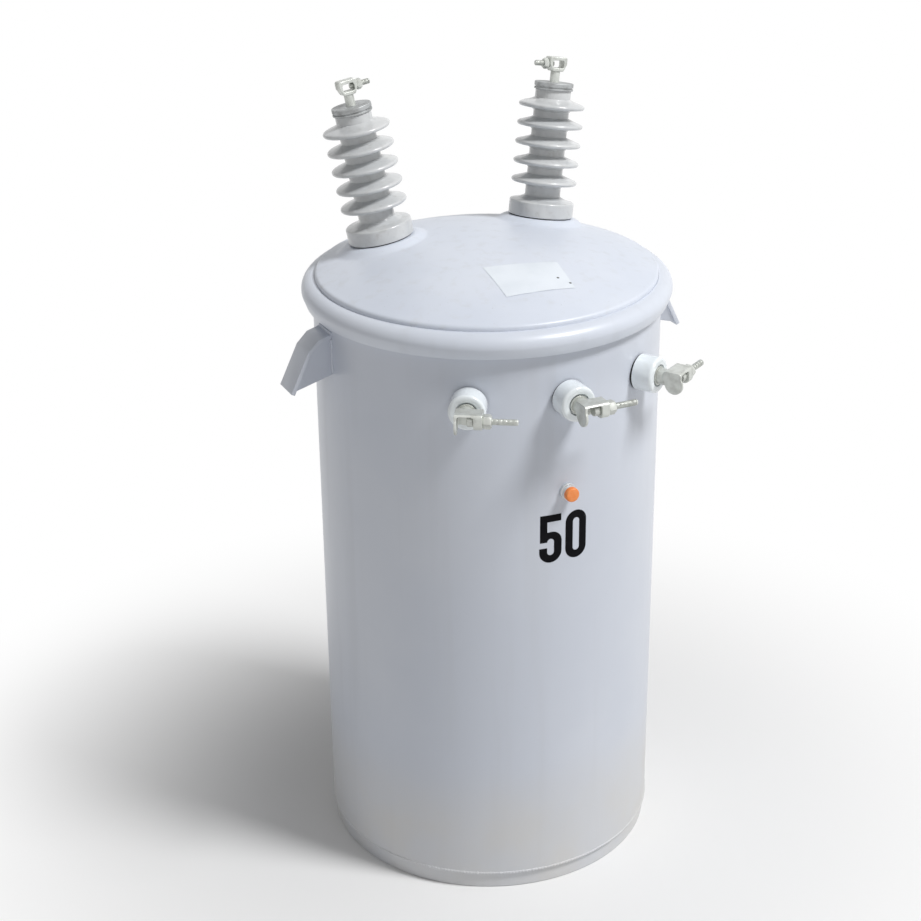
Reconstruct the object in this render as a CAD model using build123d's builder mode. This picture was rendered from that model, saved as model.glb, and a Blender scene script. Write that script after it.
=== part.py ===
from build123d import *
import os
from math import cos, radians, sin

# A pole-mounted single-phase distribution transformer standing on its base.
# Origin at the centre of the foot, +Z up, the low voltage terminals face -Y. Millimetres.

# Tank
tank_radius = 254.0
tank_wall = 3.0
tank_top = 880.0
shell_bottom = 28.0
flange_width = 8.0
flange_thickness = 4.0
foot_ring_wall = 3.0
foot_ring_height = 60.0
foot_fit = 0.2
bottom_plate_height = 40.0
bottom_plate_thickness = 4.0
weld_bead_width = 4.0

# Cover, its gasket and the band that clamps it
gasket_thickness = 4.0
gasket_width = 9.0
cover_sheet = 3.0
cover_side_inset = 4.5
cover_side_rise = 34.0
cover_edge_radius = 8.0
cover_dome_rise = 46.0
band_overhang = 16.0
band_sheet = 2.5
band_top_rise = 28.0
band_side_rise = 10.0
band_clearance = 0.3
band_split = 10.0
ear_length = 24.0
ear_height = 18.0
ear_thickness = 4.0
band_bolt_radius = 5.0
band_bolt_head = 17.0
band_bolt_head_height = 7.0
band_bolt_tail = 8.0

# High voltage bushings on the cover
hv_left_spread = 52.0
hv_right_spread = 57.0
hv_place_inset = 97.0
hv_tilt = 11.5
hv_seat_rise = 68.0
hv_pad_radius = 52.0
hv_pad_depth = 40.0
hv_gasket_radius = 46.0
hv_gasket_thickness = 1.5
hv_base_radius = 48.5
hv_base_height = 22.0
hv_base_rounding = 2.5
hv_core_radius = 26.5
hv_shed_radius = 49.0
hv_shed_edge = 3.4
hv_shed_count = 5
hv_first_shed = 53.0
hv_shed_pitch = 28.0
hv_shed_rise = 6.5
hv_shed_fall = 2.5
hv_shed_root = 3.0
hv_base_slope = 4.0
hv_neck_length = 23.0
hv_shank_radius = 25.0
hv_shank_depth = 48.0
hv_hole_clearance = 1.5
hv_cap_radius = 29.0
hv_cap_height = 11.0
hv_cap_groove = 2.0
hv_stem_radius = 7.0
hv_stem_height = 16.0
hv_eye_width = 28.0
hv_eye_foot_width = 18.0
hv_eye_height = 21.0
hv_eye_depth = 17.0
hv_eye_wall = 5.0
hv_eye_rounding = 3.0
hv_bolt_radius = 4.0
hv_bolt_reach = 4.0
hv_bolt_tail = 13.0
hv_nut_flats = 14.0
hv_nut_height = 8.0

# Low voltage bushings on the front of the tank
lv_spread = 31.5
lv_drop = 75.5
lv_gasket_radius = 24.5
lv_gasket_thickness = 2.0
lv_flat_depth = 4.0
lv_body_radius = 26.0
lv_body_length = 31.0
lv_body_rounding = 5.5
lv_recess_radius = 15.8
lv_recess_depth = 5.0
lv_shank_radius = 17.0
lv_shank_depth = 30.0
lv_hole_clearance = 1.0
lv_stud_radius = 7.0
lv_stud_inner_length = 20.0
lv_stud_socket = 8.0
lv_nut_flats = 24.0
lv_nut_height = 5.0
lv_clamp_neck = 12.0
lv_clamp_neck_radius = 11.5
lv_clamp_depth = 28.0
lv_clamp_left = 13.0
lv_clamp_right = 25.0
lv_clamp_rise = 14.0
lv_clamp_fall = 9.0
lv_clamp_top_rounding = 4.0
lv_clamp_under_rounding = 8.0
lv_cheek_radius = 14.0
lv_cheek_thickness = 3.5
lv_cheek_drop = 4.0
lv_slot_right = 13.0
lv_slot_back = 6.0
lv_slot_roof = 11.0
lv_slot_rounding = 3.5
lv_bolt_place = 17.0
lv_bolt_rise = 2.0
lv_bolt_radius = 4.5
lv_pad_radius = 8.0
lv_pad_thickness = 9.0
lv_pad_rounding = 2.0
lv_bolt_tail = 36.0
lv_bolt_nut_flats = 18.0
lv_bolt_nut_height = 12.0
thread_fit = 0.2

# Pressure relief valve under the middle low voltage bushing
valve_drop = 142.5
valve_seat_radius = 12.0
valve_seat_length = 5.0
valve_body_radius = 9.0
valve_body_length = 6.0
valve_shank_radius = 6.0
valve_shank_depth = 14.0
valve_cap_radius = 10.5
valve_cap_length = 8.0
valve_cap_rounding = 3.0

# Lifting lugs at both sides
lug_width = 45.0
lug_plate = 6.0
lug_web = 5.0
lug_web_inset = 3.0
lug_root_drop = 18.0
lug_shoulder_reach = 20.0
lug_shoulder_drop = 8.0
lug_knee_reach = 36.0
lug_knee_drop = 24.0
lug_tip_reach = 64.0
lug_tip_drop = 82.0
lug_web_height = 62.0

# Hanger brackets at the back
hanger_spacing = 285.75
hanger_upper_drop = 140.0
hanger_standoff = 62.0
hanger_plate_width = 110.0
hanger_plate_height = 80.0
hanger_plate = 8.0
hanger_web_spacing = 64.0
hanger_web = 6.0
hanger_slot_width = 17.5
hanger_slot_height = 45.0

# Earthing boss low at the back
boss_angle = 125.0
boss_height = 90.0
boss_radius = 19.0
boss_length = 16.0
boss_thread_radius = 5.5
boss_thread_depth = 12.0

# Core and coil assembly inside the tank
core_width = 330.0
core_depth = 150.0
core_height = 360.0
core_leg = 55.0
coil_width = 190.0
coil_depth = 290.0
coil_rounding = 60.0

# Levels that follow from the sizes above
gasket_bottom = tank_top
cover_flange_bottom = tank_top + gasket_thickness
flange_radius = tank_radius + flange_width
cover_side_radius = tank_radius - cover_side_inset
cover_shoulder_height = tank_top + cover_side_rise
cover_crown = cover_shoulder_height + cover_dome_rise
band_radius = tank_radius + band_overhang
band_inner_radius = band_radius - band_sheet
band_top = tank_top + band_top_rise
band_side_top = tank_top + band_side_rise
band_bottom = tank_top - flange_thickness - band_clearance - band_sheet
hv_place_radius = tank_radius - hv_place_inset
hv_seat_height = tank_top + hv_seat_rise
hv_body_height = hv_first_shed + (hv_shed_count - 1) * hv_shed_pitch + hv_neck_length
lv_height = tank_top - lv_drop
valve_height = lv_height - valve_drop
lug_root_height = tank_top - lug_root_drop
hanger_upper_height = tank_top - hanger_upper_drop

os.makedirs("parts", exist_ok=True)


def save(part, name):
    part.label = name
    export_step(part, "parts/" + name + ".step")


def beside(plane):
    # The plane that holds a lathe profile: local x is the radius, local y the plane's own axis
    return Plane(origin=plane.origin, x_dir=plane.x_dir, z_dir=-plane.y_dir)


def axis_of(plane):
    return Axis(plane.origin, plane.z_dir)


def on_tank(angle, height):
    # A plane on the tank wall: x to the right seen from outside, y up, z outwards
    outwards = Vector(cos(radians(angle)), sin(radians(angle)), 0)
    right = Vector(-sin(radians(angle)), cos(radians(angle)), 0)
    origin = outwards * tank_radius + Vector(0, 0, height)
    return Plane(origin=origin, x_dir=right, z_dir=outwards)


def on_cover(side, spread):
    # The seat of a high voltage bushing: z along the bushing, x towards the other bushing
    angle = radians(spread) * side
    outwards = Vector(sin(angle), cos(angle), 0)
    up = outwards * sin(radians(hv_tilt)) + Vector(0, 0, cos(radians(hv_tilt)))
    inwards = Vector(-side, 0, 0)
    inwards = (inwards - up * inwards.dot(up)).normalized()
    origin = outwards * hv_place_radius + Vector(0, 0, hv_seat_height)
    return Plane(origin=origin, x_dir=inwards, z_dir=up)


lv_planes = {
    "left": on_tank(-90 - lv_spread, lv_height),
    "middle": on_tank(-90, lv_height),
    "right": on_tank(-90 + lv_spread, lv_height),
}
hv_planes = {"left": on_cover(-1, hv_left_spread), "right": on_cover(1, hv_right_spread)}
valve_plane = on_tank(-90, valve_height)
boss_plane = on_tank(boss_angle, boss_height)

# Tank shell: rolled sheet with its top edge turned out, and the holes for what passes through it
with BuildPart() as tank_shell:
    with BuildSketch(Plane.XZ):
        with Locations((tank_radius - tank_wall, shell_bottom)):
            Rectangle(tank_wall, tank_top - shell_bottom, align=Align.MIN)
        with Locations((tank_radius - tank_wall, tank_top)):
            Rectangle(tank_wall + flange_width, flange_thickness, align=(Align.MIN, Align.MAX))
    revolve(axis=Axis.Z)
    with Locations(*lv_planes.values()):
        Cylinder(lv_shank_radius + lv_hole_clearance, 6 * tank_wall, mode=Mode.SUBTRACT)
    with Locations(valve_plane):
        Cylinder(valve_shank_radius + thread_fit, 6 * tank_wall, mode=Mode.SUBTRACT)
save(tank_shell.part, "tank_shell")

# Tank bottom: a pressed pan whose rim turns down inside the shell and is the foot
foot_radius = tank_radius - tank_wall - foot_fit
with BuildPart() as tank_bottom:
    with BuildSketch(Plane.XZ):
        with Locations((foot_radius - foot_ring_wall, 0)):
            Rectangle(foot_ring_wall, foot_ring_height, align=Align.MIN)
        with Locations((0, bottom_plate_height)):
            Rectangle(foot_radius, bottom_plate_thickness, align=Align.MIN)
    revolve(axis=Axis.Z)
save(tank_bottom.part, "tank_bottom")

# Weld bead under the lower edge of the shell, all round the foot
with BuildPart() as bottom_weld_bead:
    with BuildSketch(Plane.XZ):
        with BuildLine():
            Polyline(
                (foot_radius, shell_bottom),
                (foot_radius, shell_bottom - weld_bead_width),
                (foot_radius + weld_bead_width, shell_bottom),
                close=True,
            )
        make_face()
    revolve(axis=Axis.Z)
save(bottom_weld_bead.part, "bottom_weld_bead")

# Cover gasket on the turned-out top edge of the shell
with BuildPart() as cover_gasket:
    with BuildSketch(Plane.XY.offset(gasket_bottom)):
        Circle(flange_radius)
        Circle(flange_radius - gasket_width, mode=Mode.SUBTRACT)
    extrude(amount=gasket_thickness)
save(cover_gasket.part, "cover_gasket")

# Cover: a pressed dome with a flat rim on the gasket and two tilted bushing seats
inner_side = cover_side_radius - cover_sheet
with BuildPart() as cover:
    with BuildSketch(Plane.XZ) as dome:
        with BuildLine():
            TangentArc((0, cover_crown), (cover_side_radius, cover_shoulder_height), tangent=(1, 0))
            Polyline(
                (cover_side_radius, cover_shoulder_height),
                (cover_side_radius, cover_flange_bottom),
                (0, cover_flange_bottom),
                (0, cover_crown),
            )
        make_face()
        fillet(dome.vertices().group_by(Axis.X)[-1].sort_by(Axis.Y)[-1], radius=cover_edge_radius)
    revolve(axis=Axis.Z)
    for seat in hv_planes.values():
        with BuildSketch(seat):
            Circle(hv_pad_radius)
        extrude(amount=-hv_pad_depth)
    with BuildSketch(Plane.XZ) as hollow:
        with BuildLine():
            TangentArc(
                (0, cover_crown - cover_sheet),
                (inner_side, cover_shoulder_height - cover_sheet),
                tangent=(1, 0),
            )
            Polyline(
                (inner_side, cover_shoulder_height - cover_sheet),
                (inner_side, cover_flange_bottom),
                (0, cover_flange_bottom),
                (0, cover_crown - cover_sheet),
            )
        make_face()
        fillet(
            hollow.vertices().group_by(Axis.X)[-1].sort_by(Axis.Y)[-1],
            radius=cover_edge_radius - cover_sheet,
        )
    revolve(axis=Axis.Z, mode=Mode.SUBTRACT)
    with BuildSketch(Plane.XY.offset(cover_flange_bottom)):
        Circle(flange_radius)
        Circle(inner_side, mode=Mode.SUBTRACT)
    extrude(amount=cover_sheet)
    with Locations(*hv_planes.values()):
        Cylinder(hv_shank_radius + hv_hole_clearance, 2 * hv_shank_depth, mode=Mode.SUBTRACT)
save(cover.part, "cover")

# Clamp band: a rolled C-section round the cover rim and the shell's edge, drawn shut by one bolt
lip_radius = cover_side_radius + band_clearance
ear_middle = (band_bottom + band_side_top) / 2
ear_bolt_y = band_radius + ear_length / 2
with BuildPart() as clamp_band:
    with BuildSketch(Plane.XZ):
        with BuildLine():
            TangentArc((lip_radius, band_top), (band_radius, band_side_top), tangent=(1, 0))
            Polyline(
                (band_radius, band_side_top),
                (band_radius, band_bottom),
                (lip_radius, band_bottom),
                (lip_radius, band_top),
            )
        make_face()
        with BuildLine():
            TangentArc(
                (lip_radius, band_top - band_sheet),
                (band_inner_radius, band_side_top),
                tangent=(1, 0),
            )
            Polyline(
                (band_inner_radius, band_side_top),
                (band_inner_radius, band_bottom + band_sheet),
                (lip_radius, band_bottom + band_sheet),
                (lip_radius, band_top - band_sheet),
            )
        make_face(mode=Mode.SUBTRACT)
        with Locations((0, band_bottom)):
            Rectangle(tank_radius + band_clearance, 2 * band_sheet, align=Align.MIN, mode=Mode.SUBTRACT)
    revolve(axis=Axis.Z)
    with Locations((0, band_inner_radius, ear_middle)):
        Box(
            band_split + 2 * ear_thickness,
            band_sheet + ear_length,
            ear_height,
            align=(Align.CENTER, Align.MIN, Align.CENTER),
        )
    with Locations((0, band_radius, ear_middle)):
        Box(band_split, 4 * ear_length, 4 * ear_height, mode=Mode.SUBTRACT)
    with Locations(Plane(origin=(0, ear_bolt_y, ear_middle), z_dir=(1, 0, 0))):
        Cylinder(band_bolt_radius + thread_fit, 4 * ear_length, mode=Mode.SUBTRACT)
save(clamp_band.part, "clamp_band")

# The bolt through the band's two ears, with its nut
ear_face = band_split / 2 + ear_thickness
with BuildPart() as clamp_band_bolt:
    with BuildSketch(Plane(origin=(-ear_face, ear_bolt_y, ear_middle), z_dir=(1, 0, 0))):
        Circle(band_bolt_radius)
    extrude(amount=2 * ear_face + band_bolt_head_height + band_bolt_tail)
    for side in (-1, 1):
        with BuildSketch(Plane(origin=(side * ear_face, ear_bolt_y, ear_middle), z_dir=(side, 0, 0))):
            RegularPolygon(band_bolt_head / 2, 6, major_radius=False)
        extrude(amount=band_bolt_head_height)
save(clamp_band_bolt.part, "clamp_band_bolt")

# High voltage bushings: gasket, shedded porcelain, top cap, stem, eye clamp and its bolt
for side, seat in hv_planes.items():
    body_bottom = hv_gasket_thickness
    base_top = body_bottom + hv_base_height
    with BuildPart() as hv_gasket:
        with BuildSketch(seat):
            Circle(hv_gasket_radius)
            Circle(hv_shank_radius + hv_hole_clearance, mode=Mode.SUBTRACT)
        extrude(amount=hv_gasket_thickness)
    save(hv_gasket.part, "hv_gasket_" + side)

    with BuildPart() as hv_insulator:
        with BuildSketch(beside(seat)):
            with Locations((0, body_bottom)):
                foot = Rectangle(hv_base_radius, hv_base_height, align=Align.MIN)
            fillet(foot.vertices().group_by(Axis.X)[-1].sort_by(Axis.Y)[-1], radius=hv_base_rounding)
            with BuildLine():
                Polyline(
                    (0, base_top),
                    (hv_base_radius - 1.5 * hv_base_rounding, base_top),
                    (hv_core_radius, base_top + hv_base_slope),
                    (0, base_top + hv_base_slope),
                    close=True,
                )
            make_face()
            with Locations((0, base_top)):
                Rectangle(hv_core_radius, hv_body_height - base_top, align=Align.MIN)
            for index in range(hv_shed_count):
                level = hv_first_shed + index * hv_shed_pitch
                with BuildLine():
                    Polyline(
                        (0, level + hv_shed_edge + hv_shed_rise),
                        (hv_core_radius, level + hv_shed_edge + hv_shed_rise),
                        (hv_shed_radius, level + hv_shed_edge),
                        (hv_shed_radius, level - hv_shed_edge),
                        (hv_core_radius + hv_shed_root, level - hv_shed_edge - hv_shed_fall),
                        (hv_core_radius, level - hv_shed_edge - hv_shed_fall - hv_shed_root),
                        (0, level - hv_shed_edge - hv_shed_fall - hv_shed_root),
                        close=True,
                    )
                shed = make_face()
                fillet(shed.vertices().group_by(Axis.X)[-1], radius=0.75 * hv_shed_edge)
            with Locations((0, -hv_shank_depth)):
                Rectangle(hv_shank_radius, hv_shank_depth + base_top, align=Align.MIN)
        revolve(axis=axis_of(seat))
    save(hv_insulator.part, "hv_insulator_" + side)

    cap_top = hv_body_height + hv_cap_height
    with BuildPart() as hv_cap:
        with BuildSketch(beside(seat)):
            with Locations((hv_stem_radius + thread_fit, hv_body_height)):
                Rectangle(hv_cap_radius - hv_stem_radius - thread_fit, hv_cap_height, align=Align.MIN)
            with Locations((hv_cap_radius, hv_body_height + hv_cap_height / 3)):
                Rectangle(
                    2 * hv_cap_groove,
                    hv_cap_groove,
                    mode=Mode.SUBTRACT,
                )
        revolve(axis=axis_of(seat))
    save(hv_cap.part, "hv_cap_" + side)

    stem_top = cap_top + hv_stem_height
    with BuildPart() as hv_stem:
        with BuildSketch(seat.offset(hv_body_height)):
            Circle(hv_stem_radius)
        extrude(amount=hv_cap_height + hv_stem_height)
    save(hv_stem.part, "hv_stem_" + side)

    eye_top = stem_top + hv_eye_height
    eye_middle = stem_top + hv_eye_height / 2
    bolt_plane = Plane(origin=seat.from_local_coords((0, 0, eye_middle)), x_dir=seat.z_dir, z_dir=seat.x_dir)
    with BuildPart() as hv_eye_clamp:
        with BuildSketch(beside(seat)):
            with BuildLine():
                Polyline(
                    (-hv_eye_foot_width / 2, stem_top),
                    (hv_eye_foot_width / 2, stem_top),
                    (hv_eye_width / 2, eye_middle),
                    (hv_eye_width / 2, eye_top),
                    (-hv_eye_width / 2, eye_top),
                    (-hv_eye_width / 2, eye_middle),
                    close=True,
                )
            eye = make_face()
            fillet(eye.vertices(), radius=hv_eye_rounding)
            with Locations((0, eye_middle)):
                RectangleRounded(
                    hv_eye_width - 2 * hv_eye_wall,
                    hv_eye_height - 2 * hv_eye_wall,
                    hv_eye_rounding,
                    mode=Mode.SUBTRACT,
                )
        extrude(amount=hv_eye_depth / 2, both=True)
        with BuildSketch(bolt_plane):
            Circle(hv_bolt_radius + thread_fit)
        extrude(amount=hv_eye_width, mode=Mode.SUBTRACT)
    save(hv_eye_clamp.part, "hv_eye_clamp_" + side)

    bolt_start = hv_eye_width / 2 - hv_eye_wall - hv_bolt_reach
    with BuildPart() as hv_clamp_bolt:
        with BuildSketch(bolt_plane.offset(bolt_start)):
            Circle(hv_bolt_radius)
        extrude(amount=hv_eye_width / 2 - bolt_start + hv_nut_height + hv_bolt_tail)
        with BuildSketch(bolt_plane.offset(hv_eye_width / 2)):
            RegularPolygon(hv_nut_flats / 2, 6, major_radius=False)
        extrude(amount=hv_nut_height)
    save(hv_clamp_bolt.part, "hv_clamp_bolt_" + side)

# Low voltage bushings: gasket, insulator, stud, stirrup clamp and its bolt
for side, wall in lv_planes.items():
    body_end = lv_gasket_thickness + lv_body_length
    recess_floor = body_end - lv_recess_depth
    with BuildPart() as lv_gasket:
        with BuildSketch(wall.offset(-lv_flat_depth)):
            Circle(lv_gasket_radius)
            Circle(lv_shank_radius + lv_hole_clearance, mode=Mode.SUBTRACT)
        extrude(amount=lv_gasket_thickness + lv_flat_depth)
        Cylinder(tank_radius, 2 * tank_top, align=(Align.CENTER, Align.CENTER, Align.MIN), mode=Mode.SUBTRACT)
    save(lv_gasket.part, "lv_gasket_" + side)

    with BuildPart() as lv_insulator:
        with BuildSketch(beside(wall)):
            with BuildLine():
                Polyline(
                    (lv_stud_radius + thread_fit, -lv_shank_depth),
                    (lv_shank_radius, -lv_shank_depth),
                    (lv_shank_radius, lv_gasket_thickness),
                    (lv_body_radius, lv_gasket_thickness),
                    (lv_body_radius, body_end),
                    (lv_recess_radius, body_end),
                    (lv_recess_radius, recess_floor),
                    (lv_stud_radius + thread_fit, recess_floor),
                    close=True,
                )
            body = make_face()
            fillet(body.vertices().group_by(Axis.X)[-1].sort_by(Axis.Y)[-1], radius=lv_body_rounding)
        revolve(axis=axis_of(wall))
    save(lv_insulator.part, "lv_insulator_" + side)

    nut_end = recess_floor + lv_nut_height
    with BuildPart() as lv_stud:
        with BuildSketch(wall.offset(-lv_shank_depth - lv_stud_inner_length)):
            Circle(lv_stud_radius)
        extrude(amount=lv_shank_depth + lv_stud_inner_length + nut_end + lv_stud_socket)
        with BuildSketch(wall.offset(recess_floor)):
            RegularPolygon(lv_nut_flats / 2, 6, major_radius=False)
        extrude(amount=lv_nut_height)
    save(lv_stud.part, "lv_stud_" + side)

    clamp_back = nut_end + lv_clamp_neck
    slot_left = lv_clamp_left - lv_cheek_thickness
    across = Plane(origin=wall.origin, x_dir=wall.z_dir, z_dir=-wall.x_dir)
    bolt_origin = wall.from_local_coords((0, lv_bolt_rise, clamp_back + lv_bolt_place))
    bolt_plane = Plane(origin=bolt_origin, x_dir=wall.z_dir, z_dir=wall.x_dir)
    with BuildPart() as lv_clamp:
        with BuildSketch(across.offset(-lv_clamp_right)) as section:
            with Locations((clamp_back, -lv_clamp_fall)):
                Rectangle(lv_clamp_depth, lv_clamp_rise + lv_clamp_fall, align=Align.MIN)
            fillet(section.vertices().group_by(Axis.Y)[-1], radius=lv_clamp_top_rounding)
            fillet(section.vertices().group_by(Axis.Y)[0], radius=lv_clamp_under_rounding)
        extrude(amount=lv_clamp_left + lv_clamp_right)
        with BuildSketch(wall.offset(clamp_back + lv_slot_back)):
            with Locations(((lv_slot_right - slot_left) / 2, lv_slot_roof)):
                arch = Rectangle(
                    slot_left + lv_slot_right,
                    4 * lv_slot_roof,
                    align=(Align.CENTER, Align.MAX),
                )
            fillet(arch.vertices().group_by(Axis.Y)[-1], radius=lv_slot_rounding)
        extrude(amount=lv_clamp_depth, mode=Mode.SUBTRACT)
        with BuildSketch(across.offset(lv_clamp_left)):
            with Locations((clamp_back + lv_bolt_place, -lv_cheek_drop)):
                Circle(lv_cheek_radius)
        extrude(amount=-lv_cheek_thickness)
        with BuildSketch(wall.offset(nut_end)):
            Circle(lv_clamp_neck_radius)
        extrude(amount=lv_clamp_neck + lv_slot_back / 3)
        with BuildSketch(wall.offset(nut_end)):
            Circle(lv_stud_radius + thread_fit)
        extrude(amount=lv_stud_socket + thread_fit, mode=Mode.SUBTRACT)
        with BuildSketch(bolt_plane):
            Circle(lv_bolt_radius + thread_fit)
        extrude(amount=2 * lv_clamp_right, mode=Mode.SUBTRACT)
    save(lv_clamp.part, "lv_clamp_" + side)

    pad_start = lv_slot_right - lv_pad_thickness - thread_fit
    bolt_end = lv_clamp_right + lv_bolt_nut_height + lv_bolt_tail
    with BuildPart() as lv_clamp_bolt:
        with BuildSketch(bolt_plane.offset(pad_start)):
            Circle(lv_pad_radius)
        extrude(amount=lv_pad_thickness)
        fillet(lv_clamp_bolt.edges().filter_by(GeomType.CIRCLE), radius=lv_pad_rounding)
        with BuildSketch(bolt_plane.offset(pad_start + lv_pad_thickness / 2)):
            Circle(lv_bolt_radius)
        extrude(amount=bolt_end - pad_start - lv_pad_thickness / 2)
        with BuildSketch(bolt_plane.offset(lv_clamp_right)):
            RegularPolygon(lv_bolt_nut_flats / 2, 6, major_radius=False)
        extrude(amount=lv_bolt_nut_height)
    save(lv_clamp_bolt.part, "lv_clamp_bolt_" + side)

# Pressure relief valve: a body screwed into the wall and its round cap
with BuildPart() as relief_valve_body:
    with BuildSketch(beside(valve_plane)):
        with BuildLine():
            Polyline(
                (0, -valve_shank_depth),
                (valve_shank_radius, -valve_shank_depth),
                (valve_shank_radius, thread_fit),
                (valve_seat_radius, thread_fit),
                (valve_seat_radius, valve_seat_length),
                (valve_body_radius, valve_seat_length),
                (valve_body_radius, valve_seat_length + valve_body_length),
                (0, valve_seat_length + valve_body_length),
                close=True,
            )
        make_face()
    revolve(axis=axis_of(valve_plane))
save(relief_valve_body.part, "relief_valve_body")

with BuildPart() as relief_valve_cap:
    with BuildSketch(beside(valve_plane)):
        with Locations((0, valve_seat_length + valve_body_length)):
            knob = Rectangle(valve_cap_radius, valve_cap_length, align=Align.MIN)
        fillet(knob.vertices().group_by(Axis.X)[-1].sort_by(Axis.Y)[-1], radius=valve_cap_rounding)
    revolve(axis=axis_of(valve_plane))
save(relief_valve_cap.part, "relief_valve_cap")

# Lifting lugs: a bent strip on two webs, open underneath for the sling
for side, direction in {"left": -1, "right": 1}.items():
    upright = Plane(origin=(0, 0, 0), x_dir=(direction, 0, 0), z_dir=(0, -direction, 0))
    inside = tank_radius - lug_plate
    bend = [
        (inside, lug_root_height),
        (tank_radius + lug_shoulder_reach, lug_root_height - lug_shoulder_drop),
        (tank_radius + lug_knee_reach, lug_root_height - lug_knee_drop),
        (tank_radius + lug_tip_reach, lug_root_height - lug_tip_drop),
    ]
    with BuildPart() as lifting_lug:
        with BuildSketch(upright):
            with BuildLine():
                Polyline(*bend)
                offset(amount=lug_plate, side=Side.RIGHT)
            make_face()
        extrude(amount=lug_width / 2, both=True)
        for web_side in (-1, 1):
            web_middle = web_side * (lug_width / 2 - lug_web_inset - lug_web / 2)
            with BuildSketch(upright.offset(web_middle)):
                with BuildLine():
                    Polyline(*bend, (inside, lug_root_height - lug_web_height), close=True)
                make_face()
            extrude(amount=lug_web / 2, both=True)
        Cylinder(tank_radius, 2 * tank_top, align=(Align.CENTER, Align.CENTER, Align.MIN), mode=Mode.SUBTRACT)
    save(lifting_lug.part, "lifting_lug_" + side)

# Hanger brackets: a slotted plate on two webs welded to the back of the tank
hanger_face = tank_radius + hanger_standoff
for name, height in {"upper": hanger_upper_height, "lower": hanger_upper_height - hanger_spacing}.items():
    with BuildPart() as hanger_bracket:
        with Locations((0, hanger_face, height)):
            Box(
                hanger_plate_width,
                hanger_plate,
                hanger_plate_height,
                align=(Align.CENTER, Align.MAX, Align.CENTER),
            )
        for web_side in (-1, 1):
            with Locations((web_side * hanger_web_spacing / 2, hanger_face - hanger_plate, height)):
                Box(
                    hanger_web,
                    2 * hanger_standoff,
                    hanger_plate_height,
                    align=(Align.CENTER, Align.MAX, Align.CENTER),
                )
        with BuildSketch(Plane(origin=(0, hanger_face, height), x_dir=(0, 0, 1), z_dir=(0, 1, 0))):
            SlotOverall(hanger_slot_height, hanger_slot_width)
        extrude(amount=-2 * hanger_plate, mode=Mode.SUBTRACT)
        Cylinder(tank_radius, 2 * tank_top, align=(Align.CENTER, Align.CENTER, Align.MIN), mode=Mode.SUBTRACT)
    save(hanger_bracket.part, "hanger_bracket_" + name)

# Earthing boss with a blind tapped hole
with BuildPart() as earthing_boss:
    with BuildSketch(boss_plane.offset(-lv_flat_depth)):
        Circle(boss_radius)
    extrude(amount=boss_length + lv_flat_depth)
    Cylinder(tank_radius, 2 * tank_top, align=(Align.CENTER, Align.CENTER, Align.MIN), mode=Mode.SUBTRACT)
    with BuildSketch(boss_plane.offset(boss_length)):
        Circle(boss_thread_radius)
    extrude(amount=-boss_thread_depth, mode=Mode.SUBTRACT)
save(earthing_boss.part, "earthing_boss")

# Core and coils, standing on the bottom plate
with BuildPart() as core_and_coils:
    floor_level = bottom_plate_height + bottom_plate_thickness
    with Locations((0, 0, floor_level)):
        Box(core_width, core_depth, core_height, align=(Align.CENTER, Align.CENTER, Align.MIN))
    with BuildSketch(Plane.XY.offset(floor_level + core_leg)):
        RectangleRounded(coil_width, coil_depth, coil_rounding)
    extrude(amount=core_height - 2 * core_leg)
save(core_and_coils.part, "core_and_coils")
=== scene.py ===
from math import atan2, cos, hypot, pi, radians, sin, sqrt, tan

import bmesh
import bpy
from mathutils import Matrix, Vector, noise


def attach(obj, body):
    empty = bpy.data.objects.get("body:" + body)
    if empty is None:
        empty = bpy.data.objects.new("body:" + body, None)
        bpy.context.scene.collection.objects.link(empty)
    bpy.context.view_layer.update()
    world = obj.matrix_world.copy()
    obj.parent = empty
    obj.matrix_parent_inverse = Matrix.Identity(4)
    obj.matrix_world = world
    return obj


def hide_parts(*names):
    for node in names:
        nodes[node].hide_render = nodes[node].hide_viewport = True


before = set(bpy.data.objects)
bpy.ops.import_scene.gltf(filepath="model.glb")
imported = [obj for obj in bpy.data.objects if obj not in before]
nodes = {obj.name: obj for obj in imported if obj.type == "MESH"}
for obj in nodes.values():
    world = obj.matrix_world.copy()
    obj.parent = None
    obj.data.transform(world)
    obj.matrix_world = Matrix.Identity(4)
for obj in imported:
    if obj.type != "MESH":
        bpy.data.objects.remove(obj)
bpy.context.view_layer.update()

# FOOT
# The bottom of the tank is a pressed steel pan. Its rim turns down and is the ring that the
# transformer stands on. It is enamelled with the tank, and its lowest part is painted paler and more
# neutral, partly dirt and partly a painted reflection of the ground.
tank_radius = 0.254
foot_radius = 0.2508
foot_height = 0.060
foot_sheet = 0.003
pan_level = 0.040
pan_sheet = 0.004
tank_segments = 256
# Where the paler low-down tone begins and where it is full: partly dirt, partly a painted reflection of
# the ground.
low_tone_top = 0.24
low_tone_full = 0.08


class Number:
    """A varying number in a tree of nodes. Arithmetic on it adds Math nodes."""

    def __init__(self, tree, socket):
        self.tree = tree
        self.socket = socket

    def maths(self, operation, *values):
        return self.tree.node("ShaderNodeMath", {"operation": operation}, dict(enumerate(values)))

    def __add__(self, other):
        return self.maths("ADD", self, other)

    def __radd__(self, other):
        return self.maths("ADD", other, self)

    def __sub__(self, other):
        return self.maths("SUBTRACT", self, other)

    def __rsub__(self, other):
        return self.maths("SUBTRACT", other, self)

    def __mul__(self, other):
        return self.maths("MULTIPLY", self, other)

    def __rmul__(self, other):
        return self.maths("MULTIPLY", other, self)

    def __truediv__(self, other):
        return self.maths("DIVIDE", self, other)

    def larger(self, other):
        return self.maths("MAXIMUM", self, other)

    def sine(self):
        return self.maths("SINE", self)


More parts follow.
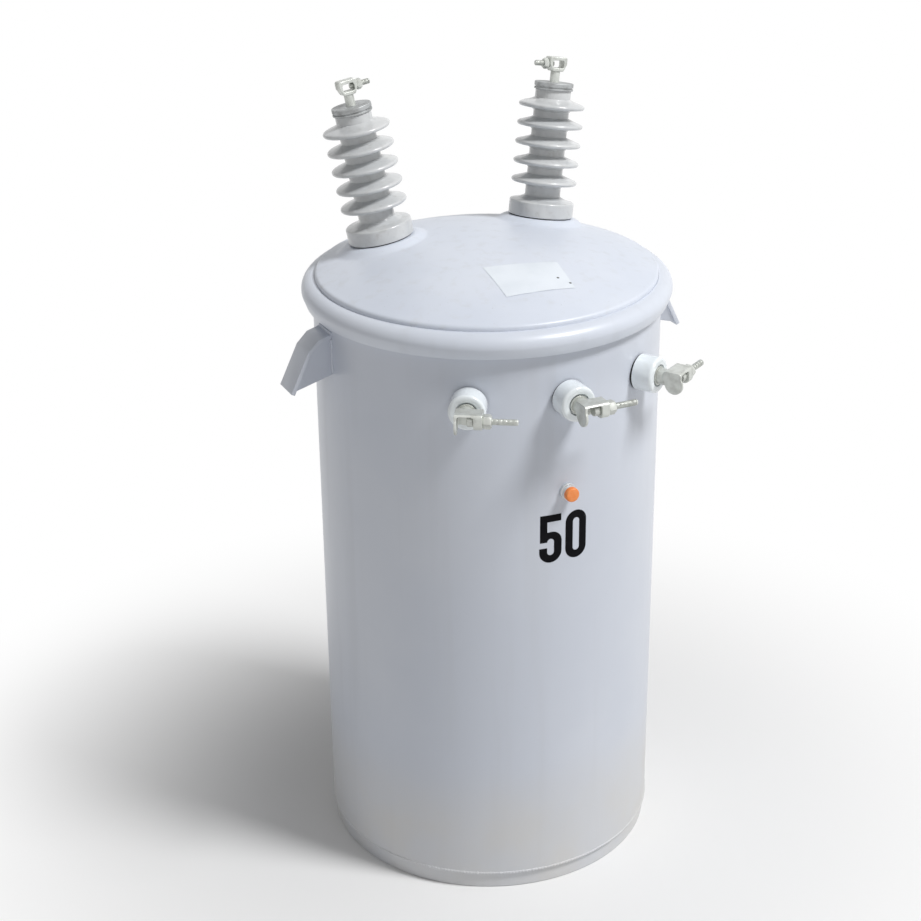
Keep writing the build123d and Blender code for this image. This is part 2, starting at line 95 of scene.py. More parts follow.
class Tree:
    """A tree of nodes, with one method that adds a node: its settings first, then its sockets."""

    def __init__(self, tree):
        self.tree = tree

    def node(self, kind, settings=None, inputs=None, output=0):
        made = self.tree.nodes.new(kind)
        for name, value in (settings or {}).items():
            setattr(made, name, value)
        for name, value in (inputs or {}).items():
            if isinstance(value, Number):
                self.tree.links.new(value.socket, made.inputs[name])
            else:
                made.inputs[name].default_value = value
        return Number(self, made.outputs[output])


class Finish(Tree):
    """A material. What varies over the surface reads the object's own coordinates."""

    def __init__(self, name, metallic=0.0, coat=0.0, coat_roughness=0.1):
        self.material = bpy.data.materials.new(name)
        self.material.use_nodes = True
        super().__init__(self.material.node_tree)
        self.shader = self.tree.nodes["Principled BSDF"]
        self.shader.inputs["Metallic"].default_value = metallic
        self.shader.inputs["Coat Weight"].default_value = coat
        self.shader.inputs["Coat Roughness"].default_value = coat_roughness
        self.place = self.node("ShaderNodeTexCoord", output="Object")
        self.relief = None

    def noise(self, scale, detail=3.0, stretch=(1.0, 1.0, 1.0), shift=0.0):
        moved = {"Vector": self.place, "Location": (shift, shift, shift), "Scale": stretch}
        there = self.node("ShaderNodeMapping", inputs=moved)
        return self.node("ShaderNodeTexNoise", inputs={"Vector": there, "Scale": scale, "Detail": detail})

    def along(self, axis):
        return self.node("ShaderNodeSeparateXYZ", inputs={0: self.place}, output=axis)

    def rise(self, value, start, end, low=0.0, high=1.0):
        settings = {"interpolation_type": "SMOOTHSTEP"}
        sockets = {"Value": value, "From Min": start, "From Max": end, "To Min": low, "To Max": high}
        return self.node("ShaderNodeMapRange", settings, sockets)

    def near(self, point, radius, softness):
        ends = {0: self.place, 1: point}
        away = self.node("ShaderNodeVectorMath", {"operation": "DISTANCE"}, ends, output="Value")
        return self.rise(away, radius, radius * (1.0 - softness))

    def mix(self, share, first, second):
        sides = {0: share}
        for socket, side in ((6, first), (7, second)):
            sides[socket] = side if isinstance(side, Number) else (*side, 1.0)
        return self.node("ShaderNodeMix", {"data_type": "RGBA"}, sides, output=2)

    def bump(self, height, distance, strength):
        sockets = {"Height": height, "Distance": distance, "Strength": strength}
        if self.relief:
            sockets["Normal"] = self.relief
        self.relief = self.node("ShaderNodeBump", inputs=sockets)

    def done(self, colour, roughness):
        self.tree.links.new(colour.socket, self.shader.inputs["Base Color"])
        self.tree.links.new(roughness.socket, self.shader.inputs["Roughness"])
        if self.relief:
            self.tree.links.new(self.relief.socket, self.shader.inputs["Normal"])
        return self.material


def enamel(name, colour, faded, runs=0.12):
    """Sprayed enamel: orange-peel skin, uneven fading, dust washed down, low down dirt and a painted
    ground reflection.
    """
    dust_grey, speck_grey = (0.470, 0.480, 0.490), (0.330, 0.320, 0.310)
    # The low-down tone: dirt, and a painted reflection of the ground.
    dirt_and_reflection_grey = (0.640, 0.622, 0.588)
    finish = Finish(name, coat=0.25, coat_roughness=0.22)
    fading = finish.rise(finish.noise(3.2, 4.0), 0.35, 0.70)
    washed = finish.rise(finish.noise(34.0, 5.0, (1.0, 1.0, 0.06)), 0.50, 0.78)
    specks = finish.rise(finish.noise(420.0, 2.0, shift=3.0), 0.72, 0.80)
    low_down = finish.rise(finish.along("Z"), low_tone_top, low_tone_full)
    # Low down the enamel turns paler and more neutral: partly dirt, partly a painted reflection of the
    # ground.
    splash_and_reflection = low_down * finish.rise(finish.noise(9.0, 5.0, shift=7.0), 0.25, 0.80, 0.45, 1.0)
    tone = finish.mix(fading, colour, faded)
    tone = finish.mix(washed * runs, tone, dust_grey)
    tone = finish.mix(specks * 0.25, tone, speck_grey)
    tone = finish.mix(splash_and_reflection * 0.75, tone, dirt_and_reflection_grey)
    finish.bump(finish.noise(620.0, 2.0), 0.00006, 0.5)
    finish.bump(finish.noise(26.0, 2.0, shift=5.0), 0.0005, 0.35)
    return finish.done(tone, 0.36 + washed * 0.10 + splash_and_reflection * 0.25 + fading * 0.08)


tank_enamel = enamel("tank enamel", (0.590, 0.625, 0.700), (0.640, 0.670, 0.735))


def rounded(corners, steps=5):
    """Turns corners (radius, height, rounding) into a profile. The first and last stay sharp."""
    profile = []
    for index, (radius, height, rounding) in enumerate(corners):
        corner = Vector((radius, height))
        if rounding == 0:
            profile.append(corner)
            continue
        back = (Vector(corners[index - 1][:2]) - corner).normalized()
        ahead = (Vector(corners[index + 1][:2]) - corner).normalized()
        reach = rounding / tan(back.angle(ahead) / 2)
        first, last = corner + back * reach, corner + ahead * reach
        for step in range(steps + 1):
            t = step / steps
            profile.append((1 - t) ** 2 * first + 2 * t * (1 - t) * corner + t * t * last)
    return profile


def shade(mesh, material, sharp=38.0):
    """Gives a mesh its material and smooths all but the edges sharper than an angle."""
    mesh.materials.clear()
    mesh.materials.append(material)
    mesh.polygons.foreach_set("use_smooth", [True] * len(mesh.polygons))
    mesh.set_sharp_from_angle(angle=radians(sharp))
    return mesh


def lathe(name, profile, material, segments, place=Matrix(), start=0.0, turn=2 * pi, sharp=38.0):
    """Turns a profile round z and puts it in its place. An open turn gets flat ends."""
    shape = bmesh.new()
    whole = turn > 2 * pi - 1e-6
    count = segments if whole else segments + 1
    angles = [start + turn * i / segments for i in range(count)]
    columns = [(cos(angle), sin(angle)) for angle in angles]
    rings = []
    for radius, height in profile:
        if radius < 1e-7:
            rings.append([shape.verts.new((0, 0, height))] * count)
        else:
            rings.append([shape.verts.new((radius * x, radius * y, height)) for x, y in columns])
    if profile[0][0] > 1e-7 or profile[-1][0] > 1e-7:
        rings.append(rings[0])
    for low, high in zip(rings, rings[1:]):
        for i in range(segments):
            j = (i + 1) % count
            corners = list(dict.fromkeys((low[i], low[j], high[j], high[i])))
            if len(corners) > 2:
                shape.faces.new(corners)
    if not whole:
        shape.faces.new([ring[0] for ring in rings[:-1]])
        shape.faces.new([ring[-1] for ring in reversed(rings[:-1])])
    bmesh.ops.recalc_face_normals(shape, faces=shape.faces)
    mesh = bpy.data.meshes.new(name)
    shape.to_mesh(mesh)
    shape.free()
    mesh.transform(place)
    return shade(mesh, material, sharp)


def piece(name, meshes, slot, *stands_for):
    """Joins meshes into one piece of the object, in place, and hides the parts it stands for."""
    whole = meshes[0]
    if len(meshes) > 1:
        shape = bmesh.new()
        for mesh in meshes:
            shape.from_mesh(mesh)
        whole = bpy.data.meshes.new(name)
        shape.to_mesh(whole)
        shape.free()
        shade(whole, meshes[0].materials[0])
    made = bpy.data.objects.new(name, whole)
    bpy.context.scene.collection.objects.link(made)
    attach(made, "root")
    if stands_for:
        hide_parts(*stands_for)
    return made


ring_inside = foot_radius - foot_sheet
pan_profile = rounded([
    (0.0, pan_level, 0.0),
    (ring_inside, pan_level, 0.0015),
    (ring_inside, 0.0, 0.001),
    (foot_radius, 0.0, 0.001),
    (foot_radius, foot_height, 0.001),
    (ring_inside, foot_height, 0.001),
    (ring_inside, pan_level + pan_sheet, 0.0015),
    (0.0, pan_level + pan_sheet, 0.0),
])
pan = lathe("foot_pan", pan_profile, tank_enamel, tank_segments)
piece("foot_pan", [pan], "tank_paint", "tank_bottom")

# TANK WALL
# One sheet of 3 mm steel rolled to a cylinder, its top edge turned out as a flange for the cover.
# Rolling and welding leave it very slightly uneven, which shows in its sheen.
wall_sheet = 0.003
wall_top = 0.880
wall_bottom = 0.028
wall_rows = 90
flange_radius = 0.262
flange_sheet = 0.004
bend_start = 0.006
flange_bend = [(0.2555, wall_top - 0.0045), (0.2585, wall_top - flange_sheet)]
unevenness = 0.00030
even_edge = 0.06

straight = wall_top - bend_start - wall_bottom
wall_profile = [(tank_radius - wall_sheet, wall_bottom)]
wall_profile += [(tank_radius, wall_bottom + straight * row / wall_rows) for row in range(wall_rows + 1)]
wall_profile += flange_bend + [
    (flange_radius, wall_top - flange_sheet),
    (flange_radius, wall_top),
    (tank_radius - wall_sheet, wall_top),
]
wall = lathe("tank_wall", wall_profile, tank_enamel, tank_segments)
for vertex in wall.vertices:
    spot = vertex.co
    middle = min(1.0, (spot.z - wall_bottom) / even_edge, (wall_top - spot.z) / even_edge)
    swell = unevenness * middle * noise.noise(Vector((spot.x * 7, spot.y * 7, spot.z * 4)))
    spot.xy *= 1 + swell / tank_radius
piece("tank_wall", [wall], "tank_paint", "tank_shell")

# WELD BEADS
# The pan, the lugs, the brackets and the boss are welded on. A bead is laid in small overlapping
# ripples along the joint, painted over with the tank.
foot_weld_radius = foot_radius + 0.0015
foot_weld_level = wall_bottom - 0.0008
seam_angle = radians(146)
seam_radius = tank_radius - 0.0002


class Growth(Tree):
    """A Geometry Nodes tree with named sizes."""

    def __init__(self, name):
        super().__init__(bpy.data.node_groups.new(name, "GeometryNodeTree"))
        self.tree.interface.new_socket("Result", in_out="OUTPUT", socket_type="NodeSocketGeometry")
        self.sizes = self.tree.nodes.new("NodeGroupInput")
        self.start = self.size("Start", "Geometry")

    def size(self, name, kind="Float"):
        self.tree.interface.new_socket(name, in_out="INPUT", socket_type="NodeSocket" + kind)
        return Number(self, self.sizes.outputs[name])

    def end(self, shape):
        plain = self.node("GeometryNodeRealizeInstances", inputs={0: shape})
        paint = self.size("Material", "Material")
        painted = self.node("GeometryNodeSetMaterial", inputs={"Geometry": plain, "Material": paint})
        last = self.tree.nodes.new("NodeGroupOutput")
        self.tree.links.new(painted.socket, last.inputs[0])

    def grow(self, name, start, **sizes):
        """Runs the tree on a mesh and keeps the result as a plain mesh."""
        source = bpy.data.objects.new(name, start)
        bpy.context.scene.collection.objects.link(source)
        modifier = source.modifiers.new(name, "NODES")
        modifier.node_group = self.tree
        for socket in self.tree.interface.items_tree:
            if socket.in_out == "INPUT" and socket.name.lower() in sizes:
                modifier[socket.identifier] = sizes[socket.name.lower()]
        shown = source.evaluated_get(bpy.context.evaluated_depsgraph_get())
        mesh = bpy.data.meshes.new_from_object(shown)
        source.modifiers.clear()
        bpy.data.objects.remove(source)
        return shade(mesh, sizes["material"])


def path(points, closed=False):
    """A line of edges for a tree to follow."""
    mesh = bpy.data.meshes.new("path")
    edges = [(i, i + 1) for i in range(len(points) - 1)]
    mesh.from_pydata(points, edges + [(len(points) - 1, 0)] if closed else edges, [])
    return mesh


weld = Growth("weld bead")
weld_width = weld.size("Width")
ripple = weld.size("Ripple")
line = weld.node("GeometryNodeMeshToCurve", inputs={0: weld.start})
line = weld.node("GeometryNodeResampleCurve", {"mode": "LENGTH"}, {"Curve": line, "Length": ripple / 6.0})
run = weld.node("GeometryNodeSplineParameter", output="Length")
wave = (run * (2 * pi) / ripple).sine()
uneven = weld.node("ShaderNodeTexNoise", inputs={"Scale": 160.0, "Detail": 2.0})
thickness = weld_width * (0.78 + wave * 0.07 + uneven * 0.42)
round_section = weld.node("GeometryNodeCurvePrimitiveCircle", inputs={"Resolution": 10, "Radius": 1.0})
weld.end(weld.node("GeometryNodeCurveToMesh", inputs={
    "Curve": line,
    "Profile Curve": round_section,
    "Scale": thickness,
    "Fill Caps": True,
}))


def weld_run(points, width, closed=False, ripple_length=0.0035):
    """A bead along the points, of that half width."""
    return weld.grow("weld", path(points, closed), width=width, ripple=ripple_length, material=tank_enamel)


foot_line = [
    (foot_weld_radius * cos(radians(a)), foot_weld_radius * sin(radians(a)), foot_weld_level)
    for a in range(0, 360, 2)
]
foot_bead = weld_run(foot_line, width=0.0030, closed=True, ripple_length=0.005)
piece("foot_weld", [foot_bead], "tank_paint", "bottom_weld_bead")
seam = [
    (seam_radius * cos(seam_angle), seam_radius * sin(seam_angle), z)
    for z in (wall_bottom + 0.004, 0.3, 0.6, wall_top - 0.008)
]
piece("wall_seam_weld", [weld_run(seam, width=0.0020)], "tank_paint")

# RATING NUMBER
# Two numerals of black adhesive film, three inches high, stuck on the tank under the middle
# terminal. They follow the curve of the wall and stand on it by the film's thickness.
number_height = 0.075
numeral_width = 0.034
numeral_gap = 0.006
stroke = 0.0118
number_middle = 0.591
number_turn = radians(1.0)
film = 0.0003
slice_width = 0.0032
five_inset = 0.001
five_tail = 0.0065

film_black = Finish("black film")
film_black.shader.inputs["Specular IOR Level"].default_value = 0.04
grain = film_black.noise(90.0, 4.0)
film_black.bump(film_black.noise(500.0, 2.0), 0.00004, 0.4)
film_black.done(film_black.mix(grain, (0.003, 0.003, 0.004), (0.010, 0.010, 0.012)), 0.50 + grain * 0.2)


def arc(centre, radius, first, last, steps=12):
    """Points on an arc between two angles in degrees."""
    angles = [radians(first + (last - first) * i / steps) for i in range(steps + 1)]
    return [(centre[0] + radius * cos(angle), centre[1] + radius * sin(angle)) for angle in angles]


half_width, half_height = numeral_width / 2, number_height / 2
bowl = half_width - stroke
high, low = half_height - half_width, half_width - half_height
zero = [
    arc((0, high), half_width, 180, 0, 20) + arc((0, low), half_width, 0, -180, 20),
    arc((0, high), bowl, 0, 180, 16) + arc((0, low), bowl, 180, 360, 16),
]
stem_left, stem_right = -half_width + five_inset, -half_width + stroke
bar_end, bar_foot = half_width - five_inset, half_height - stroke + five_inset
bowl_start = -0.0050
five = [
    [(stem_left, half_height), (bar_end, half_height), (bar_end, bar_foot)]
    + [(stem_right, bar_foot), (stem_right, 0.0108)]
    + arc((0.0015, -0.0045), half_width - 0.0015, 106, 0)
    + arc((0, low), half_width, 0, -180)
    + [(-half_width, low + five_tail), (stem_right, low + five_tail)]
    + arc((0, low), bowl, 180, 360)
    + arc((0, bowl_start), bowl, 0, 180)
    + [(stem_left, bowl_start)],
]
numerals = bpy.data.curves.new("numerals", "CURVE")
numerals.dimensions = "2D"
numerals.fill_mode = "BOTH"
for outline, shift in ((five, -1), (zero, 1)):
    for ring in outline:
        spline = numerals.splines.new("POLY")
        spline.points.add(len(ring) - 1)
        spline.use_cyclic_u = True
        for point, (x, y) in zip(spline.points, ring):
            point.co = (x + shift * (half_width + numeral_gap / 2), y, 0, 1)
drawn = bpy.data.objects.new("numerals", numerals)
bpy.context.scene.collection.objects.link(drawn)
flat = bpy.data.meshes.new_from_object(drawn.evaluated_get(bpy.context.evaluated_depsgraph_get()))
bpy.data.objects.remove(drawn)
cut = bmesh.new()
cut.from_mesh(flat)
for step in range(-12, 13):
    everything = cut.verts[:] + cut.edges[:] + cut.faces[:]
    bmesh.ops.bisect_plane(cut, geom=everything, plane_co=(step * slice_width, 0, 0), plane_no=(1, 0, 0))
bmesh.ops.remove_doubles(cut, verts=cut.verts, dist=1e-6)
for vertex in cut.verts:
    angle = vertex.co.x / tank_radius - pi / 2 - number_turn
    reach = tank_radius + film
    vertex.co = (reach * cos(angle), reach * sin(angle), number_middle + vertex.co.y)
bmesh.ops.recalc_face_normals(cut, faces=cut.faces)
for face in cut.faces:
    if face.normal.y > 0:
        face.normal_flip()
cut.to_mesh(flat)
cut.free()
piece("rating_number", [shade(flat, film_black.material)], "digit_film")

# CORE AND COILS
# The laminated core and its windings stand on the pan inside the closed tank, wet with oil.
# They can't be seen while the cover is on.
iron = Finish("oiled core steel", metallic=0.4)
sheets = iron.noise(300.0, 2.0, (0.02, 1.0, 0.02))
iron.bump(sheets, 0.0003, 0.6)
iron.done(iron.mix(sheets, (0.035, 0.032, 0.030), (0.080, 0.070, 0.060)), 0.35 + sheets * 0.2)
nodes["core_and_coils"].material_slots[0].material = iron.material

# COVER GASKET AND OTHER SEALS
# Rings of oil-resistant black rubber. One lies between the tank's flange and the cover, and the
# others are pressed flat under the bushings.
rubber = Finish("black rubber")
bloom = rubber.noise(60.0, 4.0)
rubber.bump(rubber.noise(350.0, 3.0), 0.00015, 0.5)
tone = rubber.mix(rubber.rise(bloom, 0.45, 0.8), (0.012, 0.012, 0.013), (0.045, 0.045, 0.047))
rubber.done(tone, 0.62 + bloom * 0.2)
seals = ["cover_gasket", "hv_gasket_left", "hv_gasket_right"]
seals += ["lv_gasket_left", "lv_gasket_middle", "lv_gasket_right"]
for seal in seals:
    nodes[seal].material_slots[0].material = rubber.material

# COVER
# A pressed steel dome with a flat rim. Two round seats are pressed up for the high voltage
# bushings, tilted outwards. Rain and sun have dulled the enamel and left dust on it.
cover_side = 0.2495
cover_shoulder = 0.914
cover_crown = 0.960
cover_sheet = 0.003
cover_rim = 0.884
dome_rise = cover_crown - cover_shoulder
dome_radius = (cover_side ** 2 + dome_rise ** 2) / (2 * dome_rise)
dome_edge = 0.2405
outer_rows, inner_rows = 96, 24
cover_segments = 320
seat_spread = {-1: radians(52.0), 1: radians(57.0)}
seat_place = 0.157
seat_tilt = radians(11.5)
seat_height = 0.948
seat_radius = 0.050
seat_blend = 0.020

cover_enamel = Finish("cover enamel", coat=0.2, coat_roughness=0.3)
chalk = cover_enamel.rise(cover_enamel.noise(5.0, 4.0), 0.35, 0.70)
dust = cover_enamel.rise(cover_enamel.noise(55.0, 6.0, shift=2.0), 0.50, 0.78)
specks = cover_enamel.rise(cover_enamel.noise(380.0, 2.0, shift=9.0), 0.71, 0.79)
tone = cover_enamel.mix(chalk, (0.655, 0.700, 0.790), (0.715, 0.755, 0.835))
tone = cover_enamel.mix(dust * 0.22, tone, (0.560, 0.560, 0.550))
tone = cover_enamel.mix(specks * 0.4, tone, (0.300, 0.290, 0.280))
cover_enamel.bump(cover_enamel.noise(600.0, 2.0), 0.00006, 0.5)
cover_enamel.bump(cover_enamel.noise(18.0, 2.0), 0.0006, 0.35)
cover_enamel.done(tone, 0.38 + chalk * 0.08 + dust * 0.14)


def dome(radius):
    """The height of the dome's upper side at a distance from the axis."""
    return cover_crown - dome_radius + sqrt(dome_radius ** 2 - radius ** 2)


def seat_frame(side):
    """The seat of a bushing: z along the bushing, x towards the other bushing."""
    outwards = Vector((side * sin(seat_spread[side]), cos(seat_spread[side]), 0))
    up = outwards * sin(seat_tilt) + Vector((0, 0, cos(seat_tilt)))
    inwards = Vector((-side, 0, 0))
    inwards = (inwards - up * inwards.dot(up)).normalized()
    across = up.cross(inwards)
    place = Matrix((inwards, across, up)).transposed().to_4x4()
    place.translation = outwards * seat_place + Vector((0, 0, seat_height))
    return place


seats = {"left": seat_frame(-1), "right": seat_frame(1)}


def pressed(x, y):
    """How far the pressed seats lift the dome at a point."""
    lift = 0.0
    for place in seats.values():
        middle, up = place.translation, place.col[2]
        away = hypot(x - middle.x, y - middle.y)
        share = max(0.0, min(1.0, (seat_radius + seat_blend - away) / seat_blend))
        share = share * share * (3 - 2 * share)
        level = middle.z - (up.x * (x - middle.x) + up.y * (y - middle.y)) / up.z
        lift += share * (level - dome(min(hypot(x, y), cover_side)))
    return lift


outer_radii = [dome_edge * row / outer_rows for row in range(outer_rows + 1)]
inner_radii = [dome_edge * row / inner_rows for row in range(inner_rows - 1, -1, -1)]
outer = [(radius, dome(radius)) for radius in outer_radii]
outer += rounded([
    (dome_edge, dome(dome_edge), 0.0),
    (cover_side, cover_shoulder + 0.0005, 0.006),
    (cover_side, cover_rim + cover_sheet, 0.002),
    (flange_radius, cover_rim + cover_sheet, 0.0008),
    (flange_radius, cover_rim, 0.0008),
    (cover_side - cover_sheet, cover_rim, 0.001),
    (cover_side - cover_sheet, cover_shoulder - cover_sheet, 0.004),
    (dome_edge - cover_sheet, dome(dome_edge) - cover_sheet, 0.0),
])[1:]
inner = [(radius, dome(radius) - cover_sheet) for radius in inner_radii]
lid = lathe("cover_dome", outer + inner, cover_enamel.material, cover_segments)
for vertex in lid.vertices:
    if hypot(vertex.co.x, vertex.co.y) < dome_edge - 0.002:
        vertex.co.z += pressed(vertex.co.x, vertex.co.y)
piece("cover_dome", [lid], "cover_paint", "cover")

# COVER LABEL
# A blank sheet of white film stuck on the front of the dome, a little askew and slightly wrinkled.
# Two small dark spots at its right edge are painted shade for two small screw dimples there.
label_corners = ((-0.057, -0.180), (0.045, -0.187), (0.053, -0.118), (-0.054, -0.099))
dimple_shade_spots = ((0.0329, -0.1588), (0.0440, -0.1745))
dimple_shade_radius = 0.0026
label_rows = 36
label_lift = 0.0004
wrinkle_height = 0.0004

film_white = Finish("white film", coat=0.4, coat_roughness=0.2)
yellowing = film_white.rise(film_white.noise(24.0, 4.0), 0.40, 0.75)
tone = film_white.mix(yellowing, (0.80, 0.85, 0.91), (0.75, 0.80, 0.86))
# Painted shade: two dark spots where the film has small screw dimples.
for x, y in dimple_shade_spots:
    dimple_shade = film_white.near((x, y, dome(hypot(x, y)) + 0.0005), dimple_shade_radius, softness=0.5)
    tone = film_white.mix(dimple_shade, tone, (0.030, 0.028, 0.026))
film_white.bump(film_white.noise(30.0, 3.0), 0.0006, 0.5)
film_white.done(tone, 0.30 + yellowing * 0.2)
label = bpy.data.meshes.new("cover_label")
grid, faces = [], []
for row in range(label_rows + 1):
    for column in range(label_rows + 1):
        u, v = column / label_rows, row / label_rows
        near_side = Vector(label_corners[0]).lerp(Vector(label_corners[1]), u)
        far_side = Vector(label_corners[3]).lerp(Vector(label_corners[2]), u)
        x, y = near_side.lerp(far_side, v)
        wrinkle = wrinkle_height * max(0.0, noise.noise(Vector((x * 45, y * 45, 1.7))))
        grid.append((x, y, dome(hypot(x, y)) + pressed(x, y) + label_lift + wrinkle))
for row in range(label_rows):
    for column in range(label_rows):
        first = row * (label_rows + 1) + column
        faces.append((first, first + 1, first + label_rows + 2, first + label_rows + 1))
label.from_pydata(grid, [], faces)
piece("cover_label", [shade(label, film_white.material)], "label_film")

# CLAMP BAND
# A rolled steel channel draws the cover down on the tank's flange all round. Its two ears stand
# off at the back, where one bolt closes it. It is enamelled with the tank.
band_radius = 0.270
band_foot = 0.2645
band_sheet = 0.0025
band_lip = 0.2498
band_low = 0.8732
band_turn = 0.890
band_shoulder = band_turn - 0.002
band_top = 0.908
band_hole = tank_radius + 0.0003
split = 0.010
ear_sheet = 0.004
ear_reach = 0.024
ear_height = 0.018
ear_drop = 0.00005

band_enamel = enamel("band enamel", (0.640, 0.680, 0.760), (0.700, 0.735, 0.805), runs=0.15)


def band_curve(radius, top, angles):
    """The rounded upper corner of the channel, from the given angles off the upright."""
    wide, high = radius - band_lip, top - band_turn
    return [(band_lip + wide * sin(radians(a)), band_turn + high * cos(radians(a))) for a in angles]


curve_outside = band_curve(band_radius, band_top, range(0, 91, 6))
curve_inside = band_curve(band_radius - band_sheet, band_top - band_sheet, range(90, -1, -10))
band_profile = curve_outside + rounded([
    (band_radius, band_shoulder, 0.0),
    (band_foot, band_low, 0.0016),
    (band_hole, band_low, 0.0006),
    (band_hole, band_low + band_sheet, 0.0006),
    (band_foot - band_sheet, band_low + band_sheet, 0.001),
    (band_radius - band_sheet, band_shoulder, 0.0),
]) + curve_inside
gap_angle = (split / 2) / band_radius
band_start, band_sweep = pi / 2 + gap_angle, 2 * pi - 2 * gap_angle
band = lathe("clamp_channel", band_profile, band_enamel, cover_segments, start=band_start, turn=band_sweep)


def slab(name, low_corner, high_corner, material, edge=0.001):
    """A sheet or block with eased edges."""
    shape = bmesh.new()
    bmesh.ops.create_cube(shape, size=1.0)
    low_corner, high_corner = Vector(low_corner), Vector(high_corner)
    for vertex in shape.verts:
        vertex.co = Vector(low_corner[i] if vertex.co[i] < 0 else high_corner[i] for i in range(3))
    bmesh.ops.bevel(shape, geom=shape.edges[:], offset=edge, segments=3, profile=0.5, affect="EDGES")
    mesh = bpy.data.meshes.new(name)
    shape.to_mesh(mesh)
    shape.free()
    return shade(mesh, material)


ear_middle = (band_low - ear_drop + band_turn) / 2
ear_root, ear_tip = band_foot - 0.0005, band_radius + ear_reach
ear_bottom, ear_top = ear_middle - ear_height / 2, ear_middle + ear_height / 2
ears = []
for left_face, right_face in ((-split / 2 - ear_sheet, -split / 2), (split / 2, split / 2 + ear_sheet)):
    low_corner, high_corner = (left_face, ear_root, ear_bottom), (right_face, ear_tip, ear_top)
    ears.append(slab("ear", low_corner, high_corner, band_enamel))
piece("clamp_channel", [band] + ears, "tank_paint", "clamp_band")

# BAND BOLT
# A zinc-plated bolt with a chamfered hexagon head and nut passes through both ears. The thread
# is cut as one long spiral.
band_bolt_radius = 0.005
band_bolt_pitch = 0.0015
band_bolt_tail = 0.0145
band_nut_flats = 0.017
band_nut_height = 0.007
band_nut_bore = 0.0045

zinc = Finish("zinc plate", metallic=0.85)
dulling = zinc.rise(zinc.noise(140.0, 4.0), 0.35, 0.75)
zinc.bump(zinc.noise(900.0, 2.0), 0.00004, 0.5)
zinc.done(zinc.mix(dulling, (0.560, 0.575, 0.580), (0.360, 0.365, 0.360)), 0.34 + dulling * 0.22)

screw = Growth("screw thread")
thread_radius = screw.size("Radius")
thread_length = screw.size("Length")
thread_pitch = screw.size("Pitch")
thread_depth = thread_pitch * 0.55
spiral = screw.node("GeometryNodeCurveSpiral", inputs={
    "Resolution": 28,
    "Rotations": thread_length / thread_pitch,
    "Start Radius": thread_radius - thread_depth * 0.5,
    "End Radius": thread_radius - thread_depth * 0.5,
    "Height": thread_length,
})
tooth = screw.node("GeometryNodeCurvePrimitiveCircle", inputs={"Resolution": 4, "Radius": 1.0})
teeth = screw.node("GeometryNodeCurveToMesh", inputs={
    "Curve": spiral,
    "Profile Curve": tooth,
    "Scale": thread_depth * 0.62,
    "Fill Caps": True,
})
shank = screw.node("GeometryNodeMeshCylinder", inputs={
    "Vertices": 28,
    "Radius": thread_radius - thread_depth * 0.75,
    "Depth": thread_length + thread_pitch * 0.6,
})
lift = screw.node("ShaderNodeCombineXYZ", inputs={2: thread_length * 0.5})
shank = screw.node("GeometryNodeTransform", inputs={"Geometry": shank, "Translation": lift})
both = screw.tree.nodes.new("GeometryNodeJoinGeometry")
screw.tree.links.new(teeth.socket, both.inputs[0])
screw.tree.links.new(shank.socket, both.inputs[0])
screw.end(Number(screw, both.outputs[0]))


def thread(radius, length, pitch, material, place, start):
    """A threaded shank of that length, from a start along its axis."""
    nothing = bpy.data.meshes.new("start")
    mesh = screw.grow("thread", nothing, radius=radius, length=length, pitch=pitch, material=material)
    mesh.transform(place @ Matrix.Translation((0, 0, start)))
    return mesh


def hexagon(flats, low_end, high_end, material, place, bore=0.0):
    """A nut or bolt head with the round chamfer that turning leaves on its corners."""
    face, corner, chamfer = 0.92 * flats / 2, 1.16 * flats / 2, 0.12 * flats
    profile = (
        (0.0, low_end),
        (face, low_end),
        (corner, low_end + chamfer),
        (corner, high_end - chamfer),
        (face, high_end),
        (0.0, high_end),
    )
    if bore:
        profile = ((bore, low_end),) + profile[1:-1] + ((bore, high_end),)
    mesh = lathe("hexagon", profile, material, 72)
    for vertex in mesh.vertices:
        angle = atan2(vertex.co.y, vertex.co.x)
        side = (angle + pi / 6) % (pi / 3) - pi / 6
        limit = flats / 2 / cos(side)
        away = hypot(vertex.co.x, vertex.co.y)
        if away > limit:
            vertex.co.xy *= limit / away
    mesh.transform(place)
    return shade(mesh, material, 30.0)


def directed(origin, along, upright=(0, 0, 1)):
    """A frame whose z runs along the given direction."""
    z = Vector(along).normalized()
    x = Vector(upright).cross(z).normalized()
    place = Matrix((x, z.cross(x), z)).transposed().to_4x4()
    place.translation = Vector(origin)
    return place


ear_face = split / 2 + ear_sheet
bolt_line = directed((0, band_radius + ear_reach / 2, ear_middle), (1, 0, 0))
bolt_length = 2 * ear_face + band_bolt_tail
head_end, nut_end = -ear_face - band_nut_height, ear_face + band_nut_height
piece("band_bolt", [
    thread(band_bolt_radius, bolt_length, band_bolt_pitch, zinc.material, bolt_line, -ear_face),
    hexagon(band_nut_flats, head_end, -ear_face, zinc.material, bolt_line),
    hexagon(band_nut_flats, ear_face, nut_end, zinc.material, bolt_line, bore=band_nut_bore),
], "zinc_plated_steel", "clamp_band_bolt")

# HIGH VOLTAGE BUSHINGS
# Grey glazed porcelain. A plain collar stands on the seat, five thin sheds with rounded edges are
# turned on the core above it, and the core's end carries the metal cap. Dust stays on the upper
# sides.
collar_radius = 0.0485
collar_bottom = 0.0015
collar_top = 0.0235
core_radius = 0.0265
shed_radius = 0.049
shed_count = 5
first_shed = 0.053
shed_pitch = 0.028
porcelain_top = 0.188
porcelain_segments = 112

